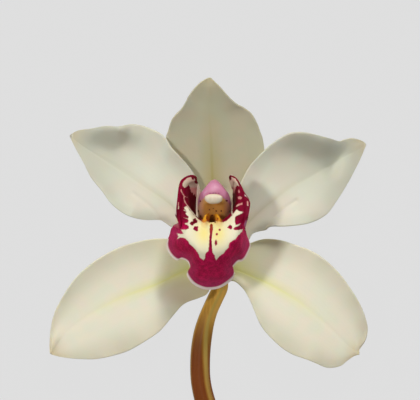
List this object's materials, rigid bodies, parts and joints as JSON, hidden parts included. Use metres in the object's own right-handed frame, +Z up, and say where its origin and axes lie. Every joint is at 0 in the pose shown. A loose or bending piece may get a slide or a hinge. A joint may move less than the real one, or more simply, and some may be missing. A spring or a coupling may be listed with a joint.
{
  "type": "cymbidium orchid bloom",
  "caption": "Cut cymbidium orchid bloom lying face up: waved cream sepals and petals round a crimson lobed lip and a pink column, on a ribbed curving stalk.",
  "frame": {"origin": "on the table, under the middle of the bloom and its stalk", "axes": "+Y from the cut end of the stalk towards the dorsal sepal, +Z up out of the face of the bloom, +X to the bloom's right as it is looked at"},
  "size_m": [0.1114, 0.127, 0.0424],
  "materials": {
    "ivory_petal": "waxy satin",
    "crimson_lip": "velvety",
    "pink_column": "waxy gloss",
    "cream_cap": "satin",
    "olive_stalk": "satin"
  },
  "bodies": {
    "root": {"dorsal_sepal": "ivory_petal", "left_lateral_sepal": "ivory_petal", "right_lateral_sepal": "ivory_petal", "left_petal": "ivory_petal", "right_petal": "ivory_petal", "lip": "crimson_lip", "column": "pink_column", "anther_cap": "cream_cap", "pedicel": "olive_stalk"}
  },
  "joints": []
}
